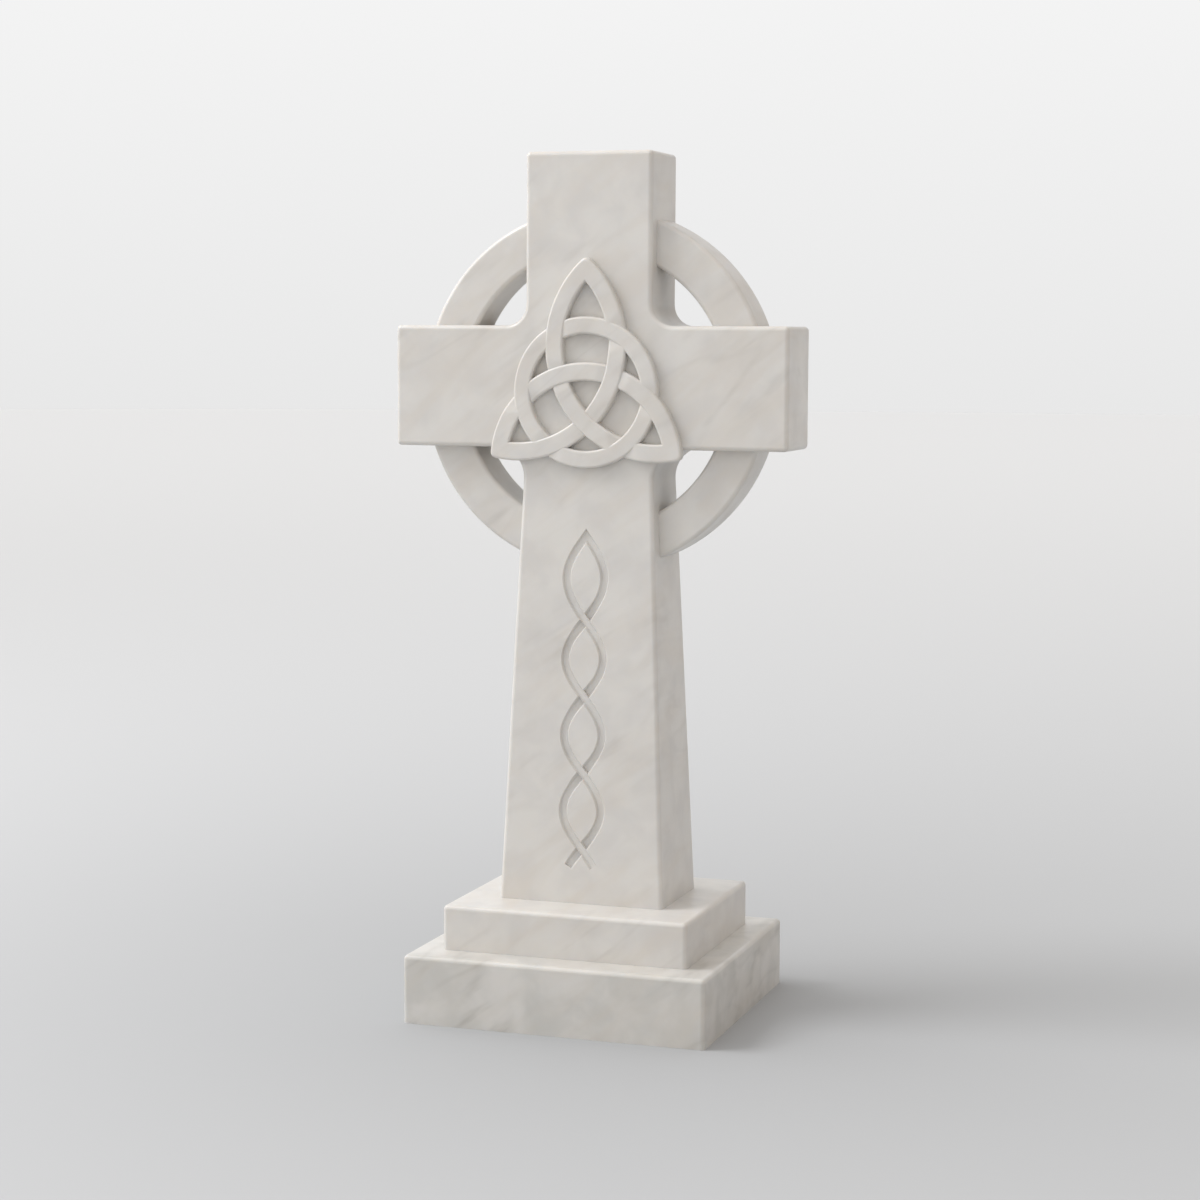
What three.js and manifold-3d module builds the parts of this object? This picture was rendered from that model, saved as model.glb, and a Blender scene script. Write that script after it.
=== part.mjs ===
// Celtic cross headstone of white marble. Three stones are stacked: a base slab, a smaller step,
// and the cross, which is carved from one block with its ring, its raised knot and its cut twist.
// Millimetres, +Z up. The front faces -Y. The origin is the middle of the underside.

import * as THREE from 'three';
import { mergeVertices } from 'three/addons/utils/BufferGeometryUtils.js';
import Module from 'manifold-3d';

const wasm = await Module();
wasm.setup();

// Driving dimensions

const BASE_WIDTH = 434;
const BASE_DEPTH = 402;
const BASE_HEIGHT = 96;
const STEP_WIDTH = 354;
const STEP_DEPTH = 306;
const STEP_HEIGHT = 63;
const ARRIS = 6.5; // radius of the softened edges of all three stones

const FOOT_WIDTH = 240; // the shaft where it stands on the step
const FOOT_DEPTH = 161;
const NECK_WIDTH = 189; // the shaft where the fillets under the arms begin
const SHAFT_LENGTH = 592; // from the step up to that neck
const HEAD_DEPTH = 115; // arms, upper limb and neck
const ARM_SPAN = 570;
const ARM_HEIGHT = 169;
const UPPER_LIMB_WIDTH = 183;
const UPPER_LIMB_LENGTH = 238; // above the arms
const LOWER_FILLET = 42;
const UPPER_FILLET = 30;

const RING_OUTER = 251; // radii
const RING_INNER = 192;
const RING_DEPTH = 71;
const RING_DROP = 4; // its middle lies this far below the middle of the arms

const KNOT_DROP = 7; // so does the middle of the knot's circle
const KNOT_RISE = 13; // height of the bands over the front face
const KNOT_ROOT = 4; // how far they reach into the stone, which is also the back of the free tips
const KNOT_DIP = 4; // how far a band sinks where it passes under another
const KNOT_DIP_REACH = 21; // length over which it sinks
const BAND_EASE = 3; // bevel along the bands
const HOOP_RADIUS = 92.2; // middle line of the circle
const HOOP_BAND = 24; // width of its band
const LOBE_BAND = 25.5; // width of the three-cornered band
const TIP_BLUNTING = 2.6; // how far the points of its corners are drawn back
const TIP_REACH = 8; // length of each side that bends with them
const ARCH_RADIUS = 126.7; // middle line of the low arch
const ARCH_DROP = 98; // its middle, below that of the circle
const SIDE_RADIUS = 146; // middle lines of the two side arcs
const SIDE_OFFSET = 100.3; // their middles, to the side of and above that of the circle
const SIDE_RAISE = 63.5;

const TWIST_PITCH = 106.4; // from one crossing to the next
const TWIST_CROSSINGS = 4;
const TWIST_TOP_LOBE = 118; // the pointed lobe over the top crossing
const TWIST_TAIL = 25; // the ends under the lowest crossing
const TWIST_START = 76.5; // height of the lowest crossing over the shaft's foot
const TWIST_SWING = 27.5; // of the channel's middle line to each side
const CHANNEL_WIDTH = 12;
const CHANNEL_FLOOR = 8;
const CHANNEL_DEPTH = 4;
const CHANNEL_STEP = 2.5; // how much deeper a channel runs where it passes under the other

// Heights and places worked out from them

const stepTop = BASE_HEIGHT + STEP_HEIGHT;
const neckLevel = stepTop + SHAFT_LENGTH;
const armUnderside = neckLevel + LOWER_FILLET;
const armTop = armUnderside + ARM_HEIGHT;
const crossTop = armTop + UPPER_LIMB_LENGTH;
const armMiddle = armUnderside + ARM_HEIGHT / 2;
const ringMiddle = armMiddle - RING_DROP;
const knotMiddle = armMiddle - KNOT_DROP;

// Fineness, and how far cutters and joined pieces run past the faces that they meet

const FULL_TURN = 2 * Math.PI;
const CIRCLE_DIVISIONS = 96; // of the ring
const FILLET_DIVISIONS = 32; // of a full turn, in an outline's fillets
const ARRIS_DIVISIONS = 8; // and in its softened corners
const STATION_SPACING = 9; // along bands and channels
const SPARE = 30;

// From three.js geometry to a solid and back

function solid(geometry) {
  const bare = geometry.index ? geometry.toNonIndexed() : geometry.clone();
  for (const attribute of ['normal', 'uv']) {
    bare.deleteAttribute(attribute);
  }
  const merged = mergeVertices(bare);
  return new wasm.Manifold(new wasm.Mesh({
    numProp: 3,
    vertProperties: new Float32Array(merged.attributes.position.array),
    triVerts: new Uint32Array(merged.index.array),
  }));
}

function named(name, body, material) {
  const { vertProperties, triVerts } = body.getMesh();
  const geometry = new THREE.BufferGeometry();
  geometry.setAttribute('position', new THREE.BufferAttribute(vertProperties, 3));
  geometry.setIndex(new THREE.BufferAttribute(triVerts, 1));
  const flat = geometry.toNonIndexed();
  flat.computeVertexNormals();
  const mesh = new THREE.Mesh(flat, material);
  mesh.name = name;
  return mesh;
}

function blockBelow(level) {
  const size = 2 * (BASE_WIDTH + BASE_DEPTH + ARM_SPAN + level);
  return solid(new THREE.BoxGeometry(size, size, size).translate(0, 0, level - size / 2));
}

// An outline from corners [across, up, radius], each rounded by an arc that touches both its sides

function roundedShape(corners) {
  const points = [];
  corners.forEach(([across, up, radius], i) => {
    const corner = new THREE.Vector2(across, up);
    const neighbour = (step) => corners[(i + step + corners.length) % corners.length];
    const away = (other) => new THREE.Vector2(other[0], other[1]).sub(corner).normalize();
    const back = away(neighbour(-1));
    const on = away(neighbour(1));
    if (!radius) {
      points.push(corner);
      return;
    }
    const halfAngle = Math.acos(THREE.MathUtils.clamp(back.dot(on), -1, 1)) / 2;
    const inwards = back.clone().add(on).setLength(radius / Math.sin(halfAngle));
    const middle = inwards.add(corner);
    const spoke = (side) => side.clone().setLength(radius / Math.tan(halfAngle)).add(corner).sub(middle);
    const first = spoke(back);
    const turn = Math.atan2(first.cross(spoke(on)), first.dot(spoke(on)));
    const divisions = radius > ARRIS ? FILLET_DIVISIONS : ARRIS_DIVISIONS;
    const pieces = Math.ceil(Math.abs(turn) / FULL_TURN * divisions);
    for (let k = 0; k <= pieces; k += 1) {
      points.push(first.clone().rotateAround(new THREE.Vector2(), turn * k / pieces).add(middle));
    }
  });
  return new THREE.Shape(points);
}

// A shape pushed through its whole depth, with softened edges on both faces

function softened(shape, depth) {
  const geometry = new THREE.ExtrudeGeometry(shape, {
    depth: depth - 2 * ARRIS,
    curveSegments: CIRCLE_DIVISIONS / 2, // three.js gives a full circle twice as many
    bevelSize: ARRIS,
    bevelThickness: ARRIS,
    bevelOffset: -ARRIS,
    bevelSegments: 2,
  });
  return geometry.translate(0, 0, ARRIS - depth / 2);
}

// Stands a shape up: its second axis becomes height and its depth runs from front to back

function upright(geometry) {
  return geometry.rotateX(Math.PI / 2);
}

// The base slab and the step: soft arrises above and at the corners, a sharp edge below

function slab(width, depth, bottom, height) {
  const [x, y] = [width / 2, depth / 2];
  const plan = roundedShape([[-x, -y, ARRIS], [x, -y, ARRIS], [x, y, ARRIS], [-x, y, ARRIS]]);
  const block = softened(plan, height + SPARE).translate(0, 0, bottom + (height - SPARE) / 2);
  return solid(block).subtract(blockBelow(bottom));
}

// Half the depth of the shaft, and of the front face's distance from the middle, at any height

function halfDepthAt(level) {
  const below = (neckLevel - level) / SHAFT_LENGTH;
  return HEAD_DEPTH / 2 + below * (FOOT_DEPTH - HEAD_DEPTH) / 2;
}

// The whole outline of shaft, arms and upper limb at the head's even depth. The stone below the
// neck is then thickened, front and back, so that it tapers from its foot to the neck.

function body() {
  const widening = (FOOT_WIDTH - NECK_WIDTH) / 2 / SHAFT_LENGTH;
  const halfWidthAt = (level) => NECK_WIDTH / 2 + (neckLevel - level) * widening;
  const [arm, limb, low] = [ARM_SPAN / 2, UPPER_LIMB_WIDTH / 2, stepTop - SPARE];
  const right = [
    [halfWidthAt(low), low, 0],
    [halfWidthAt(armUnderside), armUnderside, LOWER_FILLET],
    [arm, armUnderside, ARRIS],
    [arm, armTop, ARRIS],
    [limb, armTop, UPPER_FILLET],
    [limb, crossTop, ARRIS],
  ];
  const left = right.map(([across, up, radius]) => [-across, up, radius]).reverse();
  const even = solid(upright(softened(roundedShape([...right, ...left]), HEAD_DEPTH)));
  const lower = even.intersect(blockBelow(neckLevel)).getMesh();
  for (let i = 0; i < lower.vertProperties.length; i += 3) {
    const [, y, z] = lower.vertProperties.subarray(i, i + 3);
    lower.vertProperties[i + 1] = y + Math.sign(y) * (halfDepthAt(z) - HEAD_DEPTH / 2);
  }
  return even.subtract(blockBelow(neckLevel)).add(new wasm.Manifold(lower)).subtract(blockBelow(stepTop));
}

function ring() {
  const outline = new THREE.Shape().absarc(0, ringMiddle, RING_OUTER, 0, 2 * Math.PI);
  outline.holes.push(new THREE.Path().absarc(0, ringMiddle, RING_INNER, 0, 2 * Math.PI, true));
  return solid(upright(softened(outline, RING_DEPTH)));
}

// A bar of one profile along stations. A station has its place, a vector to the left across the bar,
// longer at a mitred corner, and the depth of the front face there. The profile's points are
// [share of that vector, outwards from the face].

function bar(stations, profile, closed) {
  const vertices = [];
  stations.forEach(({ place, across, front }) => profile.forEach(([side, out]) => {
    vertices.push(place.x + side * across.x, -front - out, place.y + side * across.y);
  }));
  const index = [];
  const size = profile.length;
  const spans = closed ? stations.length : stations.length - 1;
  for (let i = 0; i < spans; i += 1) {
    const next = (i + 1) % stations.length;
    for (let j = 0; j < size; j += 1) {
      const k = (j + 1) % size;
      index.push(i * size + j, next * size + k, next * size + j);
      index.push(i * size + j, i * size + k, next * size + k);
    }
  }
  if (!closed) {
    const last = (stations.length - 1) * size;
    const outline = profile.map(([side, out]) => new THREE.Vector2(side, out));
    for (const [a, b, c] of THREE.ShapeUtils.triangulateShape(outline, [])) {
      index.push(a, c, b);
      index.push(last + a, last + b, last + c);
    }
  }
  const geometry = new THREE.BufferGeometry();
  geometry.setAttribute('position', new THREE.Float32BufferAttribute(vertices, 3));
  geometry.setIndex(index);
  return solid(geometry);
}

// The knot. Its paths lie in the front plane, and each is an arc around a middle.

const hoop = { middle: new THREE.Vector2(0, knotMiddle), radius: HOOP_RADIUS };
const arch = { middle: new THREE.Vector2(0, knotMiddle - ARCH_DROP), radius: ARCH_RADIUS };
const leftArc = { middle: new THREE.Vector2(SIDE_OFFSET, knotMiddle + SIDE_RAISE), radius: SIDE_RADIUS };
const rightArc = {
  middle: new THREE.Vector2(-SIDE_OFFSET, knotMiddle + SIDE_RAISE),
  radius: SIDE_RADIUS,
};

// Where two circles cross, the one of the two points that lies further in a direction

function crossing(a, b, across, up) {
  const between = b.middle.clone().sub(a.middle);
  const gap = between.length();
  const along = (a.radius ** 2 - b.radius ** 2 + gap ** 2) / (2 * gap);
  const aside = Math.sqrt(a.radius ** 2 - along ** 2);
  const foot = between.clone().setLength(along).add(a.middle);
  const normal = new THREE.Vector2(-between.y, between.x).setLength(aside);
  const further = normal.x * across + normal.y * up > 0;
  return further ? foot.add(normal) : foot.sub(normal);
}

function widened(circle, by) {
  return { middle: circle.middle, radius: circle.radius + by };
}

// The three-cornered band's corners, each between two arcs, and the direction that it points in

const lobes = [
  { from: leftArc, to: rightArc, points: [0, 1] },
  { from: rightArc, to: arch, points: [-1, 0] },
  { from: arch, to: leftArc, points: [1, 0] },
];

// Where each path passes under others: an arc under another arc first, then under the circle

const unders = new Map([
  [hoop, [crossing(hoop, leftArc, -1, 1), crossing(hoop, arch, 1, 0), crossing(hoop, rightArc, -1, -1)]],
  [leftArc, [crossing(leftArc, arch, -1, 1), crossing(leftArc, hoop, 1, -1)]],
  [arch, [crossing(arch, rightArc, 1, 1), crossing(arch, hoop, -1, 0)]],
  [rightArc, [crossing(rightArc, leftArc, 0, -1), crossing(rightArc, hoop, 1, 1)]],
]);

// How far a path's band lies below its full rise near the places where it passes under another

function sunk(circle, place) {
  return Math.max(...unders.get(circle).map((under) => {
    const near = Math.min(1, place.distanceTo(under) / KNOT_DIP_REACH);
    return KNOT_DIP * (1 + Math.cos(Math.PI * near)) / 2;
  }));
}

function bandStation(circle, outer, inner) {
  const place = outer.clone().add(inner).divideScalar(2);
  return { place, across: outer.clone().sub(place), front: HEAD_DEPTH / 2 - sunk(circle, place) };
}

function angleOf(circle, point) {
  return point.clone().sub(circle.middle).angle();
}

function pointAt(circle, angle) {
  const { x, y } = circle.middle;
  return new THREE.Vector2(x + circle.radius * Math.cos(angle), y + circle.radius * Math.sin(angle));
}

// From one angle to another, the short way round

function turnBetween(start, end) {
  const raw = THREE.MathUtils.euclideanModulo(end - start, FULL_TURN);
  return raw > Math.PI ? raw - FULL_TURN : raw;
}

function bandProfile() {
  const shoulder = 1 - 2 * BAND_EASE / LOBE_BAND;
  return [
    [-1, -KNOT_ROOT], [1, -KNOT_ROOT], [1, KNOT_RISE - BAND_EASE],
    [shoulder, KNOT_RISE], [-shoulder, KNOT_RISE], [-1, KNOT_RISE - BAND_EASE],
  ];
}

// From the place where an arc passes under another to the tip where it meets the next one. The
// stations run between the band's two edges, which are arcs that meet in points of their own. The
// outer point is blunted.

function halfLobe(circle, other, points) {
  const start = angleOf(circle, unders.get(circle)[0]);
  const [outer, inner] = [LOBE_BAND / 2, -LOBE_BAND / 2].map((by) => {
    const edge = widened(circle, by);
    const tip = crossing(edge, widened(other, by), ...points);
    return { edge, turn: turnBetween(start, angleOf(edge, tip)) };
  });
  const length = Math.abs(outer.turn) * circle.radius;
  const pieces = Math.ceil(length / STATION_SPACING);
  return Array.from({ length: pieces + 1 }, (_, i) => {
    const [out, back] = [outer, inner].map(({ edge, turn }) => pointAt(edge, start + turn * i / pieces));
    const short = Math.max(0, 1 - (1 - i / pieces) * length / TIP_REACH);
    out.lerp(back, TIP_BLUNTING * short ** 2 / out.distanceTo(back));
    return bandStation(circle, out, back);
  });
}

// One corner of the three-cornered band. It starts and ends inside the arcs that it passes under.

function lobe({ from, to, points }) {
  const outgoing = halfLobe(to, from, points).reverse().slice(1);
  return bar([...halfLobe(from, to, points), ...outgoing], bandProfile(), false);
}

function knot() {
  const pieces = Math.round(FULL_TURN * hoop.radius / STATION_SPACING);
  const round = Array.from({ length: pieces }, (_, i) => {
    const edge = (by) => pointAt(widened(hoop, by), -FULL_TURN * i / pieces);
    return bandStation(hoop, edge(HOOP_BAND / 2), edge(-HOOP_BAND / 2));
  });
  return lobes.reduce((whole, corner) => whole.add(lobe(corner)), bar(round, bandProfile(), true));
}

// The twist down the shaft: two channels that swing to opposite sides and cross

const lowestCrossing = stepTop + TWIST_START;

function channelPlace(level, side) {
  const fromLowest = (level - lowestCrossing) / TWIST_PITCH;
  const lastCrossing = TWIST_CROSSINGS - 1;
  const inTopLobe = Math.max(0, fromLowest - lastCrossing) * TWIST_PITCH / TWIST_TOP_LOBE;
  const phase = Math.min(fromLowest, lastCrossing) + inTopLobe;
  return new THREE.Vector2(side * TWIST_SWING * Math.sin(Math.PI * phase), level);
}

const lowEnd = lowestCrossing - TWIST_TAIL;
const highEnd = lowestCrossing + (TWIST_CROSSINGS - 1) * TWIST_PITCH + TWIST_TOP_LOBE;

function channel(low, high, side, deepening, profile) {
  const pieces = Math.ceil((high - low) / STATION_SPACING);
  const nudge = 0.5; // from place to place, for the channel's direction
  const stations = Array.from({ length: pieces + 1 }, (_, i) => {
    const level = low + (high - low) * i / pieces;
    const before = channelPlace(level - nudge, side);
    const run = channelPlace(Math.min(level + nudge, highEnd), side).sub(before).normalize();
    const atTip = i === pieces && high === highEnd;
    return {
      place: atTip ? new THREE.Vector2(0, highEnd) : channelPlace(level, side),
      across: atTip ? new THREE.Vector2(0, 1 / run.x) : new THREE.Vector2(-run.y, run.x),
      front: halfDepthAt(level) - deepening(level),
    };
  });
  return bar(stations, profile, false);
}

// At each crossing the channel that comes down from the left runs on, and the other one, cut
// deeper, stops at its sides

function twist() {
  const [lip, floor] = [CHANNEL_WIDTH / 2, CHANNEL_FLOOR / 2];
  const reach = TWIST_PITCH / 4;
  const brim = lip + (lip - floor); // the sloping walls run on as far above the face as below it
  const groove = [
    [-floor, -CHANNEL_DEPTH], [floor, -CHANNEL_DEPTH],
    [brim, CHANNEL_DEPTH], [-brim, CHANNEL_DEPTH],
  ];
  const post = (lip + floor) / 2;
  const column = [[-post, -SPARE], [post, -SPARE], [post, 2 * SPARE], [-post, 2 * SPARE]];
  const crossings = Array.from({ length: TWIST_CROSSINGS }, (_, i) => (
    { level: lowestCrossing + i * TWIST_PITCH, overSide: i % 2 === 0 ? -1 : 1 }));
  const strands = [-1, 1].map((side) => {
    const deeper = crossings.filter(({ overSide }) => overSide !== side);
    const deepening = (at) => Math.max(0, ...deeper.map(({ level }) => {
      const near = Math.min(1, Math.abs(at - level) / reach);
      return CHANNEL_STEP * (1 + Math.cos(Math.PI * near)) / 2;
    }));
    const whole = channel(lowEnd, highEnd, side, deepening, groove);
    const kept = deeper.map(({ level }) => channel(level - reach, level + reach, -side, () => 0, column));
    return kept.reduce((cutter, uncut) => cutter.subtract(uncut), whole);
  });
  return strands[0].add(strands[1]);
}

// Finish and assembly

const marble = (colour) => new THREE.MeshStandardMaterial({ color: colour, roughness: 0.45, metalness: 0 });

const lowerBase = slab(BASE_WIDTH, BASE_DEPTH, 0, BASE_HEIGHT);
const upperStep = slab(STEP_WIDTH, STEP_DEPTH, BASE_HEIGHT, STEP_HEIGHT);
const cross = body().add(ring()).add(knot()).subtract(twist());

const headstone = new THREE.Group();
headstone.add(named('lower_base', lowerBase, marble(0xc9c5be)));
headstone.add(named('upper_step', upperStep, marble(0xd6d2cb)));
headstone.add(named('cross', cross, marble(0xd8d4cc)));

export default headstone;
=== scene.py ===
# %% [markdown]
# # A ringed cross headstone in white marble
# The real object is three stones: a base slab, a smaller step, and the cross. The cross is carved
# from one block, with its ring, a raised interlaced knot on the front, and a twist of two
# channels cut down its shaft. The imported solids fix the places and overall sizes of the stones,
# so this script loads them first and then carves finer stones in their place.

# %% Load the frame
import math
from collections import namedtuple

import bmesh
import bpy
from mathutils import Matrix, Vector


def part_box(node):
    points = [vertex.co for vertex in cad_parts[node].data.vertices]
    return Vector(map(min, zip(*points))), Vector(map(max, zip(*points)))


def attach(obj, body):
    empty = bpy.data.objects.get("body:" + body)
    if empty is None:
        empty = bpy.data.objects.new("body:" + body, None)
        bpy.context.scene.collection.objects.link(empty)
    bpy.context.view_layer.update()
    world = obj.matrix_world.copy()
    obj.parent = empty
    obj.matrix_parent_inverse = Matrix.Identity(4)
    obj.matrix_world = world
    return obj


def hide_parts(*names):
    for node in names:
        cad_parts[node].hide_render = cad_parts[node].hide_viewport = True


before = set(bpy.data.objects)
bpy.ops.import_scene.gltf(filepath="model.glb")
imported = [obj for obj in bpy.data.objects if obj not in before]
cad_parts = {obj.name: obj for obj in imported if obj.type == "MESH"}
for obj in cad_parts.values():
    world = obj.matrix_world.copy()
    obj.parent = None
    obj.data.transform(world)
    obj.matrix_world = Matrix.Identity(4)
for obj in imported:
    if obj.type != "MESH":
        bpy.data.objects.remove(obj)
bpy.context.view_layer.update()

print("nodes:", ", ".join(sorted(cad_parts)))

# %% [markdown]
# ## Sizes
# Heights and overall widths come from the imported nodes, so the stones cannot drift away from
# them. The other sizes of the outline are named here in millimetres, as a mason's drawing would
# give them. The carving's sizes follow where the carving is drawn.

# %% Sizes of the stones
MM = 0.001

base_low, base_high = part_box("lower_base")
step_low, step_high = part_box("upper_step")
cross_low, cross_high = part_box("cross")

ARRIS = 6.5 * MM  # radius of the softened edges
SPARE = 30 * MM  # how far a solid runs past the face where it is cut or buried

ARM_SPAN = cross_high.x - cross_low.x
ARM_HEIGHT = 169 * MM
FOOT_WIDTH = 240 * MM
FOOT_DEPTH = cross_high.y - cross_low.y
NECK_WIDTH = 189 * MM
HEAD_DEPTH = 115 * MM
UPPER_LIMB_WIDTH = 183 * MM
UPPER_LIMB_LENGTH = 238 * MM
LOWER_FILLET = 42 * MM
UPPER_FILLET = 30 * MM

foot_level = cross_low.z
arm_top = cross_high.z - UPPER_LIMB_LENGTH
arm_underside = arm_top - ARM_HEIGHT
neck_level = arm_underside - LOWER_FILLET  # the shaft grows thicker from here down
arm_middle = arm_top - ARM_HEIGHT / 2
print(f"shaft {1000 * (neck_level - foot_level):.0f} mm, arms {1000 * ARM_SPAN:.0f} mm across")

# %% [markdown]
# ## Finished meshes
# Modifiers do the cutting, joining and rounding. They could stay live, but the next step needs
# the real faces, so each result is frozen into a plain mesh before anything else is done to it.


# %% Helpers for meshes
def new_piece(name, mesh):
    piece = bpy.data.objects.new(name, mesh)
    bpy.context.scene.collection.objects.link(piece)
    return piece


def frozen(piece):
    """The piece with its modifiers turned into a plain mesh."""
    graph = bpy.context.evaluated_depsgraph_get()
    mesh = bpy.data.meshes.new_from_object(piece.evaluated_get(graph), depsgraph=graph)
    piece.modifiers.clear()
    piece.data = mesh
    return piece


def discard(*pieces):
    for piece in pieces:
        bpy.data.objects.remove(piece)


def edit(piece, work):
    """Opens the piece's mesh as a bmesh, runs work on it and puts it back."""
    bm = bmesh.new()
    bm.from_mesh(piece.data)
    work(bm)
    bm.to_mesh(piece.data)
    bm.free()
    piece.data.update()
    return piece


def cut_flat_below(piece, level):
    """Cuts the stone off square at a level and closes the cut."""

    def work(bm):
        everything = bm.verts[:] + bm.edges[:] + bm.faces[:]
        cut = bmesh.ops.bisect_plane(
            bm, geom=everything, plane_co=(0, 0, level), plane_no=(0, 0, -1), clear_outer=True
        )
        rim = [e for e in cut["geom_cut"] if isinstance(e, bmesh.types.BMEdge)]
        bmesh.ops.contextual_create(bm, geom=rim)
        bmesh.ops.recalc_face_normals(bm, faces=bm.faces)

    return edit(piece, work)


def report(piece):
    """Prints what was made, and whether it is closed."""
    bm = bmesh.new()
    bm.from_mesh(piece.data)
    loose = sum(not e.is_manifold for e in bm.edges)
    triangles = sum(len(f.verts) - 2 for f in bm.faces)
    litres = 1000 * bm.calc_volume(signed=True)
    bm.free()
    print(f"{piece.name}: {triangles} triangles, {litres:.2f} litres, {loose} open edges")


# %% [markdown]
# ## Slabs
# A sawn slab has its upper edges and corners eased with a rubbing block, and keeps a sharp edge
# below, where it sits on the stone under it. The rounds could be modelled face by face, but a box
# with the Bevel modifier keeps the radius as one number. The box is made too deep and cut off
# square afterwards, so that its lower edge stays sharp.

# %% Base slab and step
EDGE_STEPS = 5  # facets across a rounded edge
EASED_FROM = math.radians(40)  # only edges that turn more sharply than this are softened


def soften(piece, radius=ARRIS):
    bevel = piece.modifiers.new("softened edges", "BEVEL")
    bevel.width = radius
    bevel.segments = EDGE_STEPS
    bevel.limit_method = "ANGLE"
    bevel.angle_limit = EASED_FROM
    return frozen(piece)


def slab(name, low, high):
    def work(bm):
        bmesh.ops.create_cube(bm, size=1)
        size = high - low + Vector((0, 0, SPARE))
        middle = (high + low - Vector((0, 0, SPARE))) / 2
        bmesh.ops.transform(bm, matrix=Matrix.LocRotScale(middle, None, size), verts=bm.verts)

    piece = edit(new_piece(name, bpy.data.meshes.new(name)), work)
    return cut_flat_below(soften(piece), low.z)


base_slab = slab("marble_base_slab", base_low, base_high)
step_slab = slab("marble_step", step_low, step_high)
report(base_slab)
report(step_slab)

# %% [markdown]
# ## Shaft, arms and upper limb
# The mason cuts the whole outline out of one block, in which the shaft grows wider and thicker
# towards its foot. Boxes could be joined for this, but each inner corner would then need a fillet
# of its own. Here the outline is drawn with its four inner corners rounded and pushed through the
# depth of the head, and the points below the neck are moved out to the taper.

# %% The cross without its carving
FILLET_STEPS = 14


def rounded_outline(corners):
    """Points from corners (across, up, radius), each rounded by an arc that touches its sides."""
    points = []
    for i, (across, up, radius) in enumerate(corners):
        corner = Vector((across, up))
        if not radius:
            points.append(corner)
            continue
        back = (Vector(corners[i - 1][:2]) - corner).normalized()
        on = (Vector(corners[(i + 1) % len(corners)][:2]) - corner).normalized()
        half_angle = back.angle(on) / 2
        middle = corner + (back + on).normalized() * radius / math.sin(half_angle)
        first = corner + back * radius / math.tan(half_angle) - middle
        last = corner + on * radius / math.tan(half_angle) - middle
        for k in range(FILLET_STEPS + 1):
            points.append(middle + first.slerp(last, k / FILLET_STEPS).normalized() * radius)
    return points


def half_depth_at(level):
    """Half the thickness: even in the head, and growing from the neck to the foot."""
    below = max(0, (neck_level - level) / (neck_level - foot_level))
    return HEAD_DEPTH / 2 + below * (FOOT_DEPTH - HEAD_DEPTH) / 2


def half_width_at(level):
    """Half the shaft's width, on the straight line of its sides."""
    below = (neck_level - level) / (neck_level - foot_level)
    return NECK_WIDTH / 2 + below * (FOOT_WIDTH - NECK_WIDTH) / 2


def cross_outline():
    low = foot_level - SPARE
    right = [
        (half_width_at(low), low, 0),
        (half_width_at(arm_underside), arm_underside, LOWER_FILLET),
        (ARM_SPAN / 2, arm_underside, 0),
        (ARM_SPAN / 2, arm_top, 0),
        (UPPER_LIMB_WIDTH / 2, arm_top, UPPER_FILLET),
        (UPPER_LIMB_WIDTH / 2, cross_high.z, 0),
    ]
    left = [(-across, up, radius) for across, up, radius in reversed(right)]
    return rounded_outline(right + left)


def shape_cross(bm):
    outline = cross_outline()
    front = [bm.verts.new((p.x, -HEAD_DEPTH / 2, p.y)) for p in outline]
    back = [bm.verts.new((p.x, HEAD_DEPTH / 2, p.y)) for p in outline]
    bm.faces.new(front)
    bm.faces.new(reversed(back))
    for i in range(len(outline)):
        bm.faces.new((front[i], front[i - 1], back[i - 1], back[i]))
    everything = bm.verts[:] + bm.edges[:] + bm.faces[:]
    bmesh.ops.bisect_plane(bm, geom=everything, plane_co=(0, 0, neck_level), plane_no=(0, 0, 1))
    for vert in bm.verts:
        vert.co.y = math.copysign(half_depth_at(vert.co.z), vert.co.y)
    bmesh.ops.recalc_face_normals(bm, faces=bm.faces)


cross = edit(new_piece("carved_cross", bpy.data.meshes.new("carved_cross")), shape_cross)
cross = cut_flat_below(soften(cross), foot_level)
report(cross)

# %% [markdown]
# ## One tool for everything that follows a path
# The ring, the bands of the knot and the channels of the twist are all one section carried along
# a path. A carver uses a template in the same way. In Blender a curve with a bevel object could
# do it, but it thins at sharp corners. This node tree sweeps the section along the path first and
# then carries each point to its exact place: the path's point, plus the section's width along a
# stored sideways direction, plus its height out of the face. A mitred corner only needs a longer
# sideways direction.


# %% A small helper for nodes
def add_node(tree, kind, inputs=None, **settings):
    """Adds a node. Each input is a value or the output that feeds it."""
    node = tree.nodes.new(kind)
    for name, value in settings.items():
        setattr(node, name, value)
    for name, value in (inputs or {}).items():
        socket = node.inputs[name]
        if isinstance(value, bpy.types.NodeSocket):
            tree.links.new(value, socket)
        else:
            socket.default_value = value
    return node


# %% The sweep as a node tree
SECTION_STEPS = 4  # facets in each rounded corner of a section


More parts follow.
